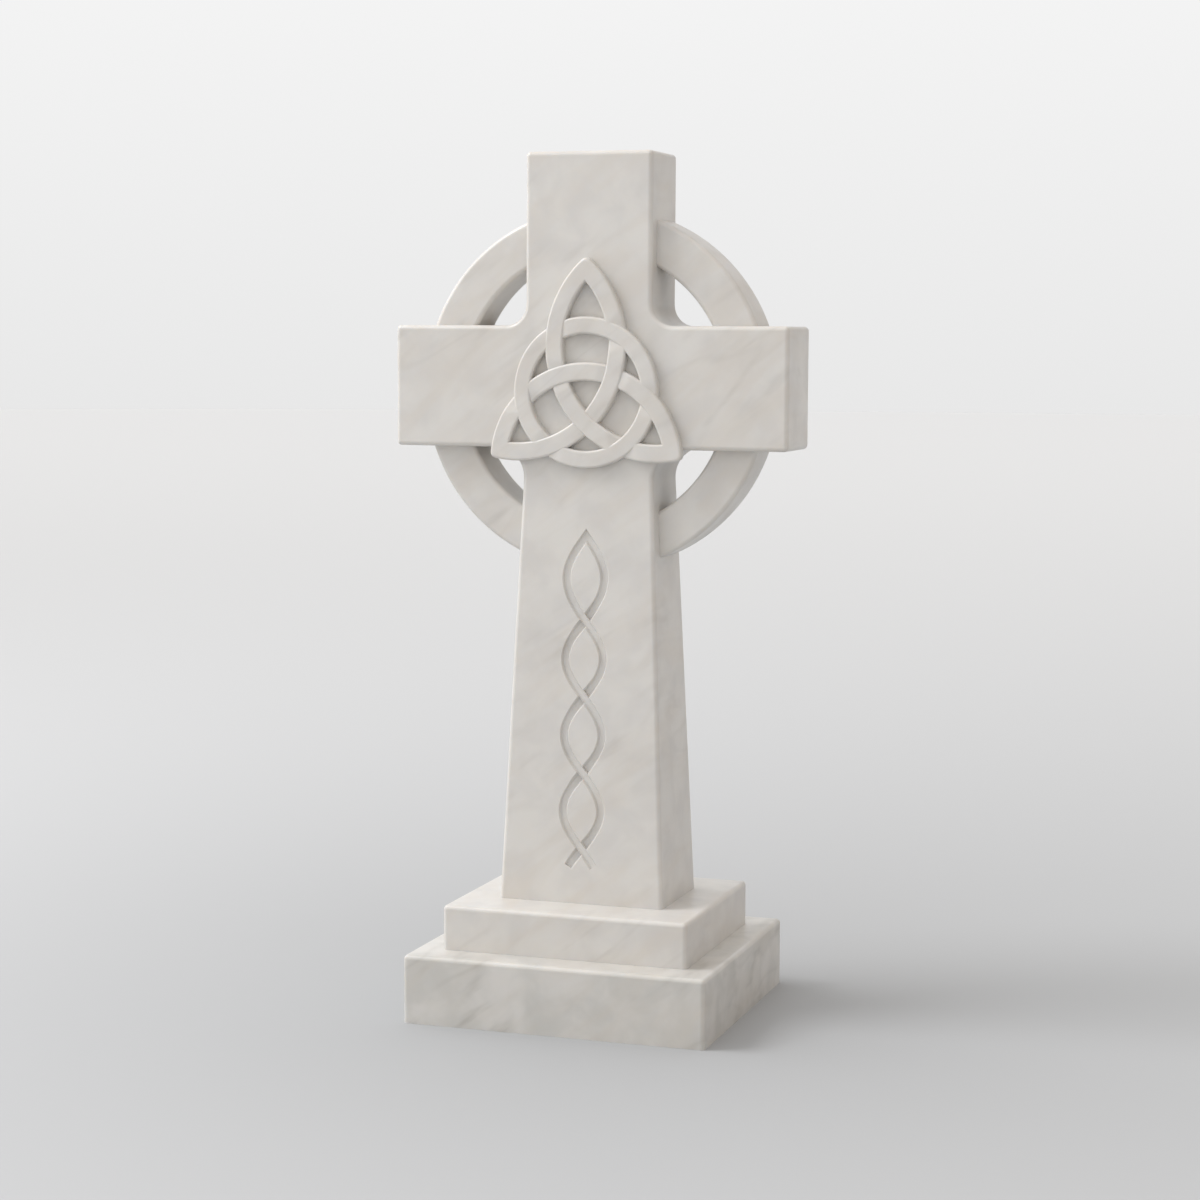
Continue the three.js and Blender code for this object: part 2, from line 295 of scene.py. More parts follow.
def build_sweep_tree():
    tree = bpy.data.node_groups.new("carry a section along a path", "GeometryNodeTree")
    for name, kind in {
        "Path": "NodeSocketGeometry",
        "Section": "NodeSocketObject",
        "Rounding": "NodeSocketFloat",
        "Outwards": "NodeSocketVector",
        "Stone": "NodeSocketMaterial",
    }.items():
        tree.interface.new_socket(name, in_out="INPUT", socket_type=kind)
    tree.interface.new_socket("Solid", in_out="OUTPUT", socket_type="NodeSocketGeometry")
    given = add_node(tree, "NodeGroupInput").outputs

    section = add_node(tree, "GeometryNodeObjectInfo", {"Object": given["Section"]})
    outline = add_node(tree, "GeometryNodeMeshToCurve", {"Mesh": section.outputs["Geometry"]})
    rounded = add_node(
        tree,
        "GeometryNodeFilletCurve",
        {"Curve": outline.outputs[0], "Count": SECTION_STEPS, "Radius": given["Rounding"]},
        mode="POLY",
    )
    position = add_node(tree, "GeometryNodeInputPosition").outputs[0]
    profile = add_node(
        tree,
        "GeometryNodeStoreNamedAttribute",
        {"Geometry": rounded.outputs[0], "Name": "on_section", "Value": position},
        data_type="FLOAT_VECTOR",
    )
    path = add_node(
        tree,
        "GeometryNodeStoreNamedAttribute",
        {"Geometry": given["Path"], "Name": "on_path", "Value": position},
        data_type="FLOAT_VECTOR",
    )
    line = add_node(tree, "GeometryNodeMeshToCurve", {"Mesh": path.outputs[0]})
    swept = add_node(
        tree,
        "GeometryNodeCurveToMesh",
        {"Curve": line.outputs[0], "Profile Curve": profile.outputs[0], "Fill Caps": True},
    )

    stored = {}
    for name in ("on_section", "on_path", "across"):
        reader = add_node(
            tree, "GeometryNodeInputNamedAttribute", {"Name": name}, data_type="FLOAT_VECTOR"
        )
        stored[name] = reader.outputs["Attribute"]

    point = add_node(tree, "ShaderNodeSeparateXYZ", {0: stored["on_section"]}).outputs
    across = add_node(
        tree, "ShaderNodeVectorMath", {0: stored["across"], "Scale": point["X"]}, operation="SCALE"
    )
    out = add_node(
        tree, "ShaderNodeVectorMath", {0: given["Outwards"], "Scale": point["Y"]}, operation="SCALE"
    )
    beside = add_node(
        tree, "ShaderNodeVectorMath", {0: stored["on_path"], 1: across.outputs[0]}, operation="ADD"
    )
    place = add_node(
        tree, "ShaderNodeVectorMath", {0: beside.outputs[0], 1: out.outputs[0]}, operation="ADD"
    )
    carried = add_node(
        tree,
        "GeometryNodeSetPosition",
        {"Geometry": swept.outputs[0], "Position": place.outputs[0]},
    )
    real = add_node(tree, "GeometryNodeRealizeInstances", {"Geometry": carried.outputs[0]})
    stone = add_node(
        tree,
        "GeometryNodeSetMaterial",
        {"Geometry": real.outputs[0], "Material": given["Stone"]},
    )
    add_node(tree, "NodeGroupOutput", {"Solid": stone.outputs[0]})
    return tree


sweep_tree = build_sweep_tree()
print("sweep tree:", len(sweep_tree.nodes), "nodes")


# %% Sweeping a section along stations
Station = namedtuple("Station", "place across")  # a point, and the unit of width there


def wire(name, points, closed):
    mesh = bpy.data.meshes.new(name)
    count = len(points)
    edges = [(i, (i + 1) % count) for i in range(count if closed else count - 1)]
    mesh.from_pydata(points, edges, [])
    return new_piece(name, mesh)


def sweep(name, stations, section, rounding, closed=False):
    """A closed solid: the section, drawn as [across, outwards], carried along the stations."""
    piece = wire(name, [s.place for s in stations], closed)
    across = piece.data.attributes.new("across", "FLOAT_VECTOR", "POINT")
    across.data.foreach_set("vector", [c for s in stations for c in s.across])
    template = wire("section", [(u, v, 0) for u, v in section], True)
    nodes = piece.modifiers.new("sweep", "NODES")
    nodes.node_group = sweep_tree
    values = {"Section": template, "Rounding": rounding, "Outwards": (0, -1, 0)}
    for socket in sweep_tree.interface.items_tree:
        if socket.name in values:
            nodes[socket.identifier] = values[socket.name]
    frozen(piece)
    discard(template)
    return edit(piece, lambda bm: bmesh.ops.recalc_face_normals(bm, faces=bm.faces))


# %% [markdown]
# ## The ring
# The ring is thinner than the head, so it steps back on both faces, and its edges are eased like
# those of the arms. It could be a wide cylinder with a narrower one cut out of it. One rectangle
# carried round a circle is simpler, and rounds all four edges as it goes.

# %% Ring
RING_OUTER = 251 * MM
RING_INNER = 192 * MM
RING_DEPTH = 71 * MM
RING_DROP = 4 * MM  # its middle lies this far below the middle of the arms
RING_STATIONS = 180


def ring_station(turn):
    spoke = Vector((math.cos(turn), 0, math.sin(turn)))
    middle = Vector((0, 0, arm_middle - RING_DROP))
    return Station(middle + spoke * (RING_OUTER + RING_INNER) / 2, spoke)


def rectangle(half_width, low, high):
    return [(-half_width, low), (half_width, low), (half_width, high), (-half_width, high)]


ring = sweep(
    "ring",
    [ring_station(2 * math.pi * i / RING_STATIONS) for i in range(RING_STATIONS)],
    rectangle((RING_OUTER - RING_INNER) / 2, -RING_DEPTH / 2, RING_DEPTH / 2),
    ARRIS,
    closed=True,
)
report(ring)

# %% [markdown]
# ## The knot
# The knot is a circle woven through a three-cornered band. Every path in it is an arc, so four
# circles and their crossings give the whole drawing. A band that passes under another dips a
# little there, which is how a carver makes flat straps look woven. A curve drawn by hand could
# follow the bands as well, but arcs keep them even and need only a few sizes. The edges of the
# three-cornered band are arcs too, and they meet in points outside and inside, so each station is
# drawn between its two edges instead of square to the middle line.

# %% The knot's drawing
KNOT_DROP = 7 * MM  # its circle's middle lies this far below the middle of the arms
KNOT_RISE = 13 * MM  # height of the bands over the face
KNOT_ROOT = 4 * MM  # how far they reach into the stone, which is also the back of the free tips
KNOT_DIP = 2.8 * MM  # how far a band sinks where it passes under another
KNOT_DIP_REACH = 26 * MM  # length over which it sinks
BAND_ROUNDING = 3.6 * MM  # radius of the bands' softened edges
HOOP_RADIUS = 92.2 * MM  # to the middle of the band, as the other radii are
HOOP_BAND = 24 * MM  # width of the circle's band
LOBE_BAND = 25.5 * MM  # width of the three-cornered band
TIP_BLUNTING = 2.6 * MM  # how far the points of its corners are drawn back
TIP_REACH = 8 * MM  # length of each side that bends with them
ARCH_DROP = 98 * MM  # the lower arc's centre lies this far below the knot's middle
ARCH_RADIUS = 126.7 * MM
SIDE_SHIFT = 100.3 * MM  # the left arc's centre lies this far to the right, and the other way round
SIDE_LIFT = 63.5 * MM  # and this far above the knot's middle
SIDE_RADIUS = 146 * MM
STATION_SPACING = 2.5 * MM  # between the places where a section is set

Circle = namedtuple("Circle", "x z radius")
knot_middle = arm_middle - KNOT_DROP
hoop = Circle(0, knot_middle, HOOP_RADIUS)
arch = Circle(0, knot_middle - ARCH_DROP, ARCH_RADIUS)
left_arc = Circle(SIDE_SHIFT, knot_middle + SIDE_LIFT, SIDE_RADIUS)
right_arc = Circle(-SIDE_SHIFT, knot_middle + SIDE_LIFT, SIDE_RADIUS)


def crossing(a, b, towards):
    """Where two circles cross, the one of the two points that lies further in a direction."""
    start = Vector((a.x, a.z))
    between = Vector((b.x, b.z)) - start
    gap = between.length
    along = (a.radius**2 - b.radius**2 + gap**2) / (2 * gap)
    aside = math.sqrt(a.radius**2 - along**2)
    normal = between.orthogonal().normalized() * aside
    if normal.dot(Vector(towards)) < 0:
        normal.negate()
    return start + between.normalized() * along + normal


unders = {
    hoop: [
        crossing(hoop, left_arc, (-1, 1)),
        crossing(hoop, arch, (1, 0)),
        crossing(hoop, right_arc, (-1, -1)),
    ],
    left_arc: [crossing(left_arc, arch, (-1, 1)), crossing(left_arc, hoop, (1, -1))],
    arch: [crossing(arch, right_arc, (1, 1)), crossing(arch, hoop, (-1, 0))],
    right_arc: [crossing(right_arc, left_arc, (0, -1)), crossing(right_arc, hoop, (1, 1))],
}
for circle, places in unders.items():
    print(f"arc of {1000 * circle.radius:.1f} mm passes under {len(places)} times")


# %% Stations along the knot's bands
def widened(circle, by):
    return circle._replace(radius=circle.radius + by)


def angle_to(circle, point):
    return math.atan2(point.y - circle.z, point.x - circle.x)


def turn_between(start, end):
    """From one angle to another, the short way round."""
    return (end - start + math.pi) % (2 * math.pi) - math.pi


def point_at(circle, angle):
    spoke = Vector((math.cos(angle), math.sin(angle)))
    return Vector((circle.x, circle.z)) + circle.radius * spoke


def dip_at(circle, point):
    """How far the circle's band lies below its full rise, near the places where it passes under."""
    nearest = min((point - under).length for under in unders[circle])
    return KNOT_DIP * (1 + math.cos(math.pi * min(1, nearest / KNOT_DIP_REACH))) / 2


def band_station(circle, outer, inner, band):
    """A station between the band's two edges, sunk where the band passes under another."""
    middle = (outer + inner) / 2
    across = (outer - inner) / band
    front = HEAD_DEPTH / 2 - dip_at(circle, middle)
    return Station((middle.x, -front, middle.y), (across.x, 0, across.y))


def half_lobe(circle, other, towards):
    """Stations from the place where the band passes under an arc to the tip where two arcs meet."""
    start = angle_to(circle, unders[circle][0])
    edges = []
    for by in (LOBE_BAND / 2, -LOBE_BAND / 2):
        edge = widened(circle, by)
        tip = crossing(edge, widened(other, by), towards)
        edges.append((edge, turn_between(start, angle_to(edge, tip))))
    length = circle.radius * abs(edges[0][1])
    count = round(length / STATION_SPACING)
    stations = []
    for i in range(count + 1):
        outer, inner = [point_at(edge, start + turn * i / count) for edge, turn in edges]
        short = max(0, 1 - (1 - i / count) * length / TIP_REACH)
        outer = outer.lerp(inner, TIP_BLUNTING * short**2 / (outer - inner).length)
        stations.append(band_station(circle, outer, inner, LOBE_BAND))
    return stations


def lobe(name, first, second, towards):
    """One corner of the band: two arcs that meet in its tip."""
    stations = half_lobe(first, second, towards) + half_lobe(second, first, towards)[-2::-1]
    return sweep(name, stations, rectangle(LOBE_BAND / 2, -KNOT_ROOT, KNOT_RISE), BAND_ROUNDING)


def hoop_station(turn):
    spoke = Vector((math.cos(turn), math.sin(turn)))
    centre = Vector((hoop.x, hoop.z))
    outer = centre + spoke * (hoop.radius + HOOP_BAND / 2)
    inner = centre + spoke * (hoop.radius - HOOP_BAND / 2)
    return band_station(hoop, outer, inner, HOOP_BAND)


# %% Bands of the knot
hoop_count = round(2 * math.pi * hoop.radius / STATION_SPACING)
knot = [
    sweep(
        "knot_circle",
        [hoop_station(2 * math.pi * i / hoop_count) for i in range(hoop_count)],
        rectangle(HOOP_BAND / 2, -KNOT_ROOT, KNOT_RISE),
        BAND_ROUNDING,
        closed=True,
    ),
    lobe("knot_top", left_arc, right_arc, (0, 1)),
    lobe("knot_left", right_arc, arch, (-1, 0)),
    lobe("knot_right", arch, left_arc, (1, 0)),
]
for band in knot:
    report(band)

# %% [markdown]
# ## The twist
# Two channels with flat floors and sloping walls swing to opposite sides and cross four times down
# the shaft. The one that comes down from the left runs on at each crossing. The other is cut a
# little deeper there and stops at its sides, so the pair reads as woven. Bump in the material
# could hint at them, but then the mesh itself would be plain. So the channels are cutters, with
# the lips of the cut slightly rounded, and each place that must be kept is taken out of the
# deeper cutter.

# %% The twist's drawing
TWIST_PITCH = 106.4 * MM  # from crossing to crossing
TWIST_CROSSINGS = 4
TWIST_TOP_LOBE = 118 * MM  # from the highest crossing to the tip
TWIST_TAIL = 25 * MM  # below the lowest crossing
TWIST_START = 76.5 * MM  # height of the lowest crossing above the shaft's foot
TWIST_SWING = 27.5 * MM  # to each side
TWIST_MITRE = 16 * MM  # over this length the section turns into the plane where the tips meet
TWIST_OVERLAP = 0.4 * MM  # how far each tip runs on past that plane, into the other
CHANNEL_WIDTH = 12 * MM  # at the face, before its lips are eased
CHANNEL_FLOOR = 8 * MM
CHANNEL_DEPTH = 4 * MM
CHANNEL_STEP = 2.5 * MM  # how much deeper the lower channel is at a crossing
CHANNEL_ROUNDING = 0.8 * MM
LIP = 1 * MM  # how far the easing reaches below the face

lowest_crossing = foot_level + TWIST_START
twist_low = lowest_crossing - TWIST_TAIL
twist_high = lowest_crossing + (TWIST_CROSSINGS - 1) * TWIST_PITCH + TWIST_TOP_LOBE
print(f"twist {1000 * (twist_high - twist_low):.0f} mm long with {TWIST_CROSSINGS} crossings")


def channel_across(level, side):
    """How far the channel's middle line lies from the middle of the shaft."""
    phase = (level - lowest_crossing) / TWIST_PITCH
    last = TWIST_CROSSINGS - 1
    if phase > last:
        phase = last + (phase - last) * TWIST_PITCH / TWIST_TOP_LOBE
    return side * TWIST_SWING * math.sin(math.pi * phase)


def channel_station(level, side, deepening):
    """A station square to the channel, or turned into the plane where the two tips meet."""
    nudge = STATION_SPACING / 10
    lean = (channel_across(level, side) - channel_across(level - nudge, side)) / nudge
    square = Vector((-1, 0, lean)).normalized()
    turned = min(1, max(0, 1 - (twist_high - level) / TWIST_MITRE))
    mitre = Vector((0, 0, math.hypot(1, lean) / lean)) if turned else square
    front = half_depth_at(level) - deepening
    return Station((channel_across(level, side), -front, level), square.lerp(mitre, turned))


def channel(name, low, high, side, deepening, section, rounding):
    count = round((high - low) / STATION_SPACING)
    levels = [low + (high - low) * i / count for i in range(count + 1)]
    stations = [channel_station(level, side, deepening(level)) for level in levels]
    return sweep(name, stations, section, rounding)


def groove():
    """Half the floor, up the wall, over the lip and straight on out of the stone, on both sides."""
    right = [
        (CHANNEL_FLOOR / 2, -CHANNEL_DEPTH),
        (CHANNEL_WIDTH / 2 - LIP / 2, -LIP),
        (CHANNEL_WIDTH / 2 + LIP, LIP),
        (CHANNEL_WIDTH / 2 + LIP, CHANNEL_DEPTH + SPARE / 4),
    ]
    return right + [(-u, v) for u, v in reversed(right)]


# %% Cutters for the twist
def join(piece, others, operation):
    """Joins the others to the piece, or cuts them out of it, and clears them away."""
    for other in others:
        boolean = piece.modifiers.new(other.name, "BOOLEAN")
        boolean.operation = operation
        boolean.solver = "MANIFOLD"
        boolean.object = other
    frozen(piece)
    discard(*others)
    return piece


def twist_cutter():
    """Both channels as one solid, without the places that must be kept."""
    reach = TWIST_PITCH / 4  # length on each side of a crossing over which a channel sinks
    post = (CHANNEL_WIDTH + CHANNEL_FLOOR) / 4  # half the channel's width halfway down its walls
    column = rectangle(post, -SPARE, SPARE * 2)
    levels = [lowest_crossing + i * TWIST_PITCH for i in range(TWIST_CROSSINGS)]
    crossings = [(level, (-1, 1)[i % 2]) for i, level in enumerate(levels)]
    top = twist_high + TWIST_OVERLAP
    strands = []
    for side in (-1, 1):
        below = [level for level, over_side in crossings if over_side != side]

        def deepening(level):
            near = min(1, min(abs(level - under) for under in below) / reach)
            return CHANNEL_STEP * (1 + math.cos(math.pi * near)) / 2

        strand = channel("strand", twist_low, top, side, deepening, groove(), CHANNEL_ROUNDING)
        kept = [
            channel("kept", level - reach, level + reach, -side, lambda _: 0, column, 0)
            for level in below
        ]
        strands.append(join(strand, kept, "DIFFERENCE"))
    return join(strands[0], strands[1:], "UNION")


twist = twist_cutter()
report(twist)

# %% [markdown]
# ## Carving the block
# All of this is one block, so the ring and the bands join the cross, and the twist is cut out of
# it. Parts that only overlapped could look the same in a picture, but their mesh would not be one
# stone. Afterwards every edge that turns sharply is marked, and weighted normals keep the broad
# faces flat while the rounded edges still shade as rounds.

# %% Carve the cross
CREASE = math.radians(32)  # an edge that turns more than this is shaded sharp


def finish_shading(piece):
    piece.data.shade_smooth()
    piece.data.set_sharp_from_angle(angle=CREASE)
    weighted = piece.modifiers.new("flat faces stay flat", "WEIGHTED_NORMAL")
    weighted.keep_sharp = True
    return frozen(piece)


join(cross, [ring, *knot], "UNION")
report(cross)
join(cross, [twist], "DIFFERENCE")
report(cross)
stones = {"cross": cross, "upper_step": step_slab, "lower_base": base_slab}
for stone in stones.values():
    finish_shading(stone)

# %% [markdown]
# ## Marble
# The stone is a white marble, honed: rubbed with fine grit to a satin surface that shows soft
# highlights along the eased edges and no mirror image. Its colour is a warm white with grey clouds
# a few centimetres wide, and faint grey and beige veins that climb to the right. A picture of
# marble could be wrapped round each block, but it would break at the edges. Noise in space on the
# object's own coordinates runs through the stone from face to face, as real veins do.


# %% Colours
def linear(colour):
    """An sRGB hex colour as the linear RGBA that Blender's shaders take."""
    parts = [int(colour[i : i + 2], 16) / 255 for i in (1, 3, 5)]
    return [c / 12.92 if c <= 0.04045 else ((c + 0.055) / 1.055) ** 2.4 for c in parts] + [1]


# A Mix node has sockets of one name for numbers, vectors and colours. These are the colour ones.
MIX_A = 6
MIX_B = 7
MIX_RESULT = 2

# %% Patterns in the marble
CLOUD = 55 * MM  # size of the soft clouds
PATCH = 160 * MM  # size of the areas that hold veins
SMUDGE = 20 * MM  # size of the smoky marks that make the broad veins
VEIN_SPACING = 75 * MM  # roughly, between the thin veins
VEIN_WIDTH = 0.03  # how far the noise may be from its middle value inside a thin vein
VEIN_LENGTH = 4.0  # how many times longer than wide a vein's bends are
VEIN_CLIMB = math.radians(38)
GRAIN = 1.6 * MM  # the sparkle of the crystals, drawn coarser than it is so that it can show

# A pattern is noise that starts to show at one value and is full at another. It lies even in the
# stone, or is drawn out along the veins.
Pattern = namedtuple("Pattern", "way size detail distortion starts full")
PATTERNS = {
    "cool clouds": Pattern("even", CLOUD, 3, 0.3, 0.35, 0.7),
    "warm clouds": Pattern("veined", CLOUD * 0.7, 3, 0.4, 0.42, 0.72),
    "smudges": Pattern("veined", SMUDGE, 2, 0.2, 0.5, 0.8),
    "smoky areas": Pattern("even", PATCH, 1, 1, 0.4, 0.65),
    "areas of thin veins": Pattern("even", PATCH, 1, 0, 0.42, 0.62),
}


def add_patterns(tree, ways):
    """The patterns by name, each from 0 to 1."""
    shown = {}
    for name, pattern in PATTERNS.items():
        inputs = {
            "Vector": ways[pattern.way],
            "Scale": 1 / pattern.size,
            "Detail": pattern.detail,
            "Distortion": pattern.distortion,
        }
        noise = add_node(tree, "ShaderNodeTexNoise", inputs).outputs["Fac"]
        reach = {"Value": noise, "From Min": pattern.starts, "From Max": pattern.full}
        smooth = add_node(tree, "ShaderNodeMapRange", reach, interpolation_type="SMOOTHSTEP")
        shown[name] = smooth.outputs[0]
    return shown


def add_thin_lines(tree, way):
    """1 along thin winding lines, where the noise crosses its middle, falling to 0 beside them."""
    inputs = {"Vector": way, "Scale": 1 / VEIN_SPACING, "Detail": 1}
    noise = add_node(tree, "ShaderNodeTexNoise", inputs).outputs["Fac"]
    off = add_node(tree, "ShaderNodeMath", {0: noise, 1: 0.5}, operation="SUBTRACT").outputs[0]
    far = add_node(tree, "ShaderNodeMath", {0: off}, operation="ABSOLUTE").outputs[0]
    reach = {"Value": far, "From Min": VEIN_WIDTH, "From Max": 0}
    return add_node(
        tree, "ShaderNodeMapRange", reach, interpolation_type="SMOOTHSTEP"
    ).outputs[0]


print("patterns:", ", ".join(PATTERNS))

# %% Honed marble
COOL_SHARE = 0.9  # how much of its colour each pattern brings where it is full
WARM_SHARE = 0.6
THIN_VEIN_SHARE = 0.35  # of the strength of the broad veins
ROUGHNESS = 0.3  # of the white stone, a satin finish
CLOUDED_ROUGHNESS = 0.38  # of the clouds
GRAIN_RELIEF = 0.06  # the bump's strength, so faint that it only breaks up the highlights
GRAIN_HEIGHT = 0.1 * MM
MARBLE_IOR = 1.49
GLOW_SHARE = 0.3  # how much of the light goes into the stone and comes out beside, which softens it
GLOW_DEPTH = 4 * MM
GLOW_REACH = (1.0, 0.8, 0.6)  # red light goes furthest


def honed_marble(name, white, cool, warm, vein, vein_strength, seed):
    material = bpy.data.materials.new(name)
    material.use_nodes = True
    tree = material.node_tree
    tree.nodes.clear()
    place = add_node(tree, "ShaderNodeTexCoord").outputs["Object"]
    even = add_node(tree, "ShaderNodeMapping", {"Vector": place, "Location": (seed, seed, seed)})
    even = even.outputs[0]
    slant = {
        "Vector": even,
        "Rotation": (0, -VEIN_CLIMB, 0),
        "Scale": (VEIN_LENGTH, VEIN_LENGTH, 1),
    }
    veined = add_node(tree, "ShaderNodeMapping", slant, vector_type="TEXTURE").outputs[0]
    shown = add_patterns(tree, {"even": even, "veined": veined})
    smoky_veins = add_node(
        tree, "ShaderNodeMath", {0: shown["smudges"], 1: shown["smoky areas"]}, operation="MULTIPLY"
    )
    thin_veins = add_node(
        tree,
        "ShaderNodeMath",
        {0: add_thin_lines(tree, veined), 1: shown["areas of thin veins"]},
        operation="MULTIPLY",
    )

    layers = [
        (shown["cool clouds"], COOL_SHARE, cool),
        (shown["warm clouds"], WARM_SHARE, warm),
        (smoky_veins.outputs[0], vein_strength, vein),
        (thin_veins.outputs[0], THIN_VEIN_SHARE * vein_strength, vein),
    ]
    colour = linear(white)
    for pattern, amount, tint in layers:
        share = add_node(tree, "ShaderNodeMath", {0: pattern, 1: amount}, operation="MULTIPLY")
        inputs = {0: share.outputs[0], MIX_A: colour, MIX_B: linear(tint)}
        colour = add_node(tree, "ShaderNodeMix", inputs, data_type="RGBA").outputs[MIX_RESULT]

    rough = add_node(
        tree,
        "ShaderNodeMapRange",
        {"Value": shown["cool clouds"], "To Min": ROUGHNESS, "To Max": CLOUDED_ROUGHNESS},
    )
    grain = add_node(
        tree, "ShaderNodeTexNoise", {"Vector": even, "Scale": 1 / GRAIN, "Detail": 2}
    )
    relief = {"Height": grain.outputs["Fac"], "Strength": GRAIN_RELIEF, "Distance": GRAIN_HEIGHT}
    bump = add_node(tree, "ShaderNodeBump", relief)
    finish = {
        "Base Color": colour,
        "Roughness": rough.outputs[0],
        "Normal": bump.outputs[0],
        "IOR": MARBLE_IOR,
        "Subsurface Weight": GLOW_SHARE,
        "Subsurface Radius": GLOW_REACH,
        "Subsurface Scale": GLOW_DEPTH,
    }
    shader = add_node(tree, "ShaderNodeBsdfPrincipled", finish)
    add_node(tree, "ShaderNodeOutputMaterial", {"Surface": shader.outputs[0]})
    return material


# %% Marble on the stones
white_marble = honed_marble(
    "honed white marble",
    white="#d4d1cc",
    cool="#ccc9c5",
    warm="#cdc7bf",
    vein="#b4afa8",
    vein_strength=0.4,
    seed=0.0,
)
grey_marble = honed_marble(
    "honed grey-clouded marble",
    white="#d1cec9",
    cool="#c2c0bb",
    warm="#c7c2ba",
    vein="#a29e97",
    vein_strength=0.55,
    seed=3.7,
)
for node, stone in stones.items():
    stone.data.materials.clear()
    stone.data.materials.append(grey_marble if node == "lower_base" else white_marble)
    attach(stone, "root")
    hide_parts(node)
    report(stone)

# %% [markdown]
# ## Floor and light
# A pale floor and soft light, as in a product picture. Several lamps could light the stone, but
# each would leave its own shadow. So most of the light comes from a bright room all round, and
# hollows and undersides darken softly. The room glows on the left and is dimmer low on the right,
# which sets the sides of the stone off from its face. One broad lamp high on the left lights the
# tops and the upper left edges. The floor is matt, and its colour holds painted light: it is
# painted darker near the stone and paler with distance until it meets the brightness of the room,
# so that no horizon line shows behind the stone.

# %% Floor
FLOOR_RADIUS = 30.0  # metres
PAINTED_FLOOR_FALLOFF = 4.6  # metres over which the painted shade near the stone gives way to the paler far tone
FLOOR_SIDES = 64
# Painted light: the near tone is painted shade around the stone, and the far tone is painted
# brightness that matches the room at the horizon.
NEAR_FLOOR_PAINTED_SHADE = "#a8a9aa"
FAR_FLOOR_PAINTED_BRIGHTNESS = "#eaebec"
FLOOR_ROUGHNESS = 0.8  # like matt card, with hardly any sheen
FLOOR_SHEEN = 0.2


def floor_with_painted_falloff():
    material = bpy.data.materials.new("floor with painted light falloff")
    material.use_nodes = True
    tree = material.node_tree
    place = add_node(tree, "ShaderNodeTexCoord").outputs["Object"]
    # painted shade: strongest at the stone and fading with distance into the paler far tone
    away = add_node(tree, "ShaderNodeVectorMath", {0: place}, operation="LENGTH").outputs["Value"]
    painted_shade_exponent = add_node(tree, "ShaderNodeMath", {0: away, 1: -PAINTED_FLOOR_FALLOFF}, operation="DIVIDE")
    near = add_node(tree, "ShaderNodeMath", {0: painted_shade_exponent.outputs[0]}, operation="EXPONENT")
    tones = {0: near.outputs[0], MIX_A: linear(FAR_FLOOR_PAINTED_BRIGHTNESS), MIX_B: linear(NEAR_FLOOR_PAINTED_SHADE)}
    tone = add_node(tree, "ShaderNodeMix", tones, data_type="RGBA")
    shader = tree.nodes["Principled BSDF"]
    tree.links.new(tone.outputs[MIX_RESULT], shader.inputs["Base Color"])
    shader.inputs["Roughness"].default_value = FLOOR_ROUGHNESS
    shader.inputs["Specular IOR Level"].default_value = FLOOR_SHEEN
    return material


def shape_floor(bm):
    bmesh.ops.create_circle(bm, cap_ends=True, segments=FLOOR_SIDES, radius=FLOOR_RADIUS)


floor = edit(new_piece("floor", bpy.data.meshes.new("floor")), shape_floor)
floor.data.materials.append(floor_with_painted_falloff())
print(f"floor {2 * FLOOR_RADIUS:.0f} m across")

# %% Key lamp
KEY_PLACE = Vector((-3.2, -1.3, 4.5))
KEY_TARGET = Vector((0, 0, 0.6))
KEY_SIZE = 2.4  # metres across
KEY_WATTS = 146

key_light = bpy.data.lights.new("key", "AREA")
key_light.shape = "DISK"
key_light.size = KEY_SIZE
key_light.energy = KEY_WATTS
key_light.color = linear("#fbfcff")[:3]
key = new_piece("key", key_light)
key.location = KEY_PLACE
key.rotation_euler = (KEY_TARGET - KEY_PLACE).to_track_quat("-Z", "Y").to_euler()
print(f"key lamp {KEY_SIZE} m across, {KEY_WATTS} W")

# %% Room
LEFT_GLOW = 1.4  # added to the room's even strength of 1
LOW_RIGHT_DIMMING = 0.8  # taken from it, low on the right
HIGH_RIGHT_DIMMING = 0.05  # and higher up on the right
HIGH_BACK_DIMMING = 0.12  # and at the back
HORIZON_GREY = "#e8e8e8"
CEILING_GREY = "#f4f4f4"
RIGHT_TINT = "#fff7f0"

# Each way is a direction. What is read along it is greatest straight that way and 0 square to it.
ROOM_WAYS = {
    "right": (1, 0, 0),
    "up": (0, 0, 1),
    "right and back": (1, 0.3, 0),
    "dimming above": (-HIGH_RIGHT_DIMMING, -HIGH_BACK_DIMMING, 0),
}
# Each part of the room is read along one way. It starts at one value and is full at another.
RoomPart = namedtuple("RoomPart", "way starts full amount")
ROOM_PARTS = {
    "off the horizon": RoomPart("up", 0.02, 0.15, 1),
    "low": RoomPart("up", 0.45, 0.15, 1),
    "high": RoomPart("up", 0.15, 0.45, 1),
    "ceiling": RoomPart("up", -0.03, 0.13, 1),
    "right side": RoomPart("right", -0.05, 0.7, 1),
    "low right dimming": RoomPart("right and back", 0.2, 0.9, -LOW_RIGHT_DIMMING),
    "left glow": RoomPart("right", -0.55, -0.95, LEFT_GLOW),
}


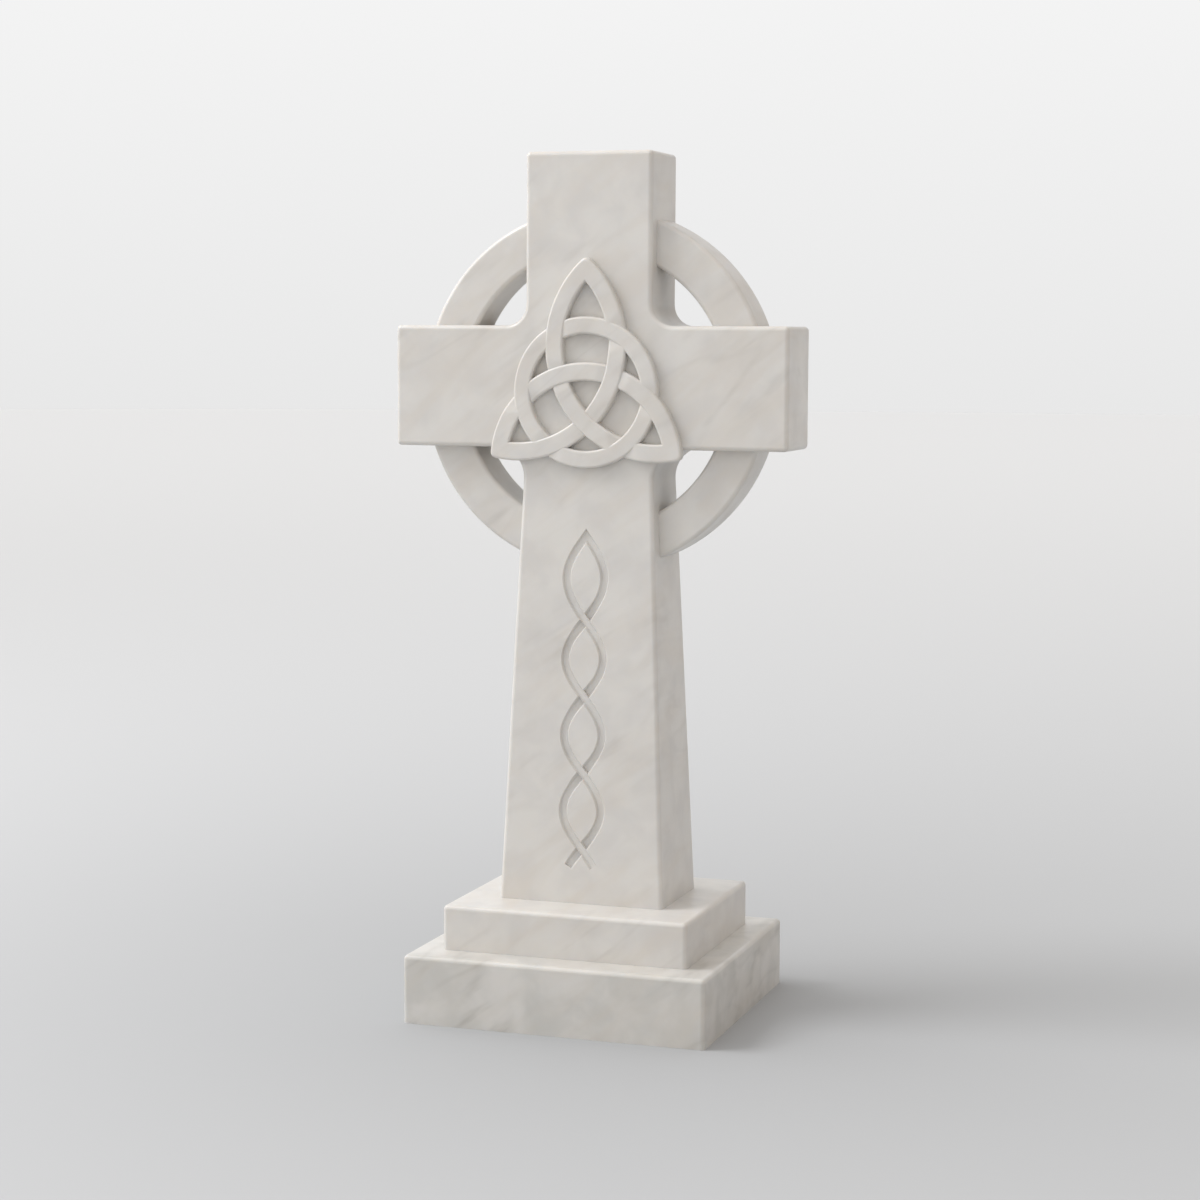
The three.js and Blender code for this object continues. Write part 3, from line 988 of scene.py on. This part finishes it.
def make_room():
    """A bright room, with a broad glow on the left, dimmer on the right and towards the back."""
    world = bpy.data.worlds.new("studio")
    world.use_nodes = True
    tree = world.node_tree
    towards = add_node(tree, "ShaderNodeTexCoord").outputs["Generated"]
    read = {}
    for name, way in ROOM_WAYS.items():
        lean = {0: towards, 1: way}
        node = add_node(tree, "ShaderNodeVectorMath", lean, operation="DOT_PRODUCT")
        read[name] = node.outputs["Value"]
    part = {}
    for name, (way, starts, full, amount) in ROOM_PARTS.items():
        reach = {"Value": read[way], "From Min": starts, "From Max": full, "To Max": amount}
        part[name] = add_node(tree, "ShaderNodeMapRange", reach).outputs[0]
    # These two stay off the horizon, so that it looks the same all round.
    for name in ("low", "right side"):
        kept = {0: part["off the horizon"], 1: part[name]}
        part[name] = add_node(tree, "ShaderNodeMath", kept, operation="MULTIPLY").outputs[0]

    changes = [
        (part["high"], read["dimming above"]),
        (part["low"], part["low right dimming"]),
        (part["off the horizon"], part["left glow"]),
    ]
    strength = 1.0
    for where, change in changes:
        added = {0: where, 1: change, 2: strength}
        strength = add_node(tree, "ShaderNodeMath", added, operation="MULTIPLY_ADD").outputs[0]

    colour = linear(HORIZON_GREY)
    layers = [("ceiling", CEILING_GREY, "MIX"), ("right side", RIGHT_TINT, "MULTIPLY")]
    for name, tint, kind in layers:
        inputs = {0: part[name], MIX_A: colour, MIX_B: linear(tint)}
        layer = add_node(tree, "ShaderNodeMix", inputs, data_type="RGBA", blend_type=kind)
        colour = layer.outputs[MIX_RESULT]
    background = tree.nodes["Background"]
    tree.links.new(colour, background.inputs["Color"])
    tree.links.new(strength, background.inputs["Strength"])
    bpy.context.scene.world = world


make_room()
bpy.context.scene.view_settings.view_transform = "Standard"
print("room:", ", ".join(ROOM_PARTS))

# %% [markdown]
# ## Camera
# The stone is seen a little from the right, with the eye at about the height of its arms. The
# camera could be placed by guess, but its place, turn and lens were fitted to the straight edges
# of the stones in their picture, so that the perspective is right as well.

# %% Camera
CAMERA_AZIMUTH = math.radians(18.47)
CAMERA_PITCH = math.radians(5.72)
CAMERA_ROLL = math.radians(0.282)
CAMERA_DISTANCE = 3.7319
CAMERA_TARGET = Vector((0.0005, 0, 0.5777))
CAMERA_LENS = 79.46  # millimetres, as is the sensor's width
SENSOR_WIDTH = 36
FURTHEST_SEEN = 100  # metres, past the far side of the floor

camera = bpy.data.cameras.new("camera")
camera.sensor_width = SENSOR_WIDTH
camera.lens = CAMERA_LENS
camera.clip_end = FURTHEST_SEEN
viewer = new_piece("camera", camera)
turn = Matrix.Rotation(CAMERA_AZIMUTH, 4, "Z") @ Matrix.Rotation(math.pi / 2 - CAMERA_PITCH, 4, "X")
viewer.matrix_world = (
    Matrix.Translation(CAMERA_TARGET + turn.to_3x3() @ Vector((0, 0, CAMERA_DISTANCE)))
    @ turn
    @ Matrix.Rotation(CAMERA_ROLL, 4, "Z")
)
bpy.context.scene.camera = viewer
print("camera at", [round(c, 3) for c in viewer.matrix_world.translation])
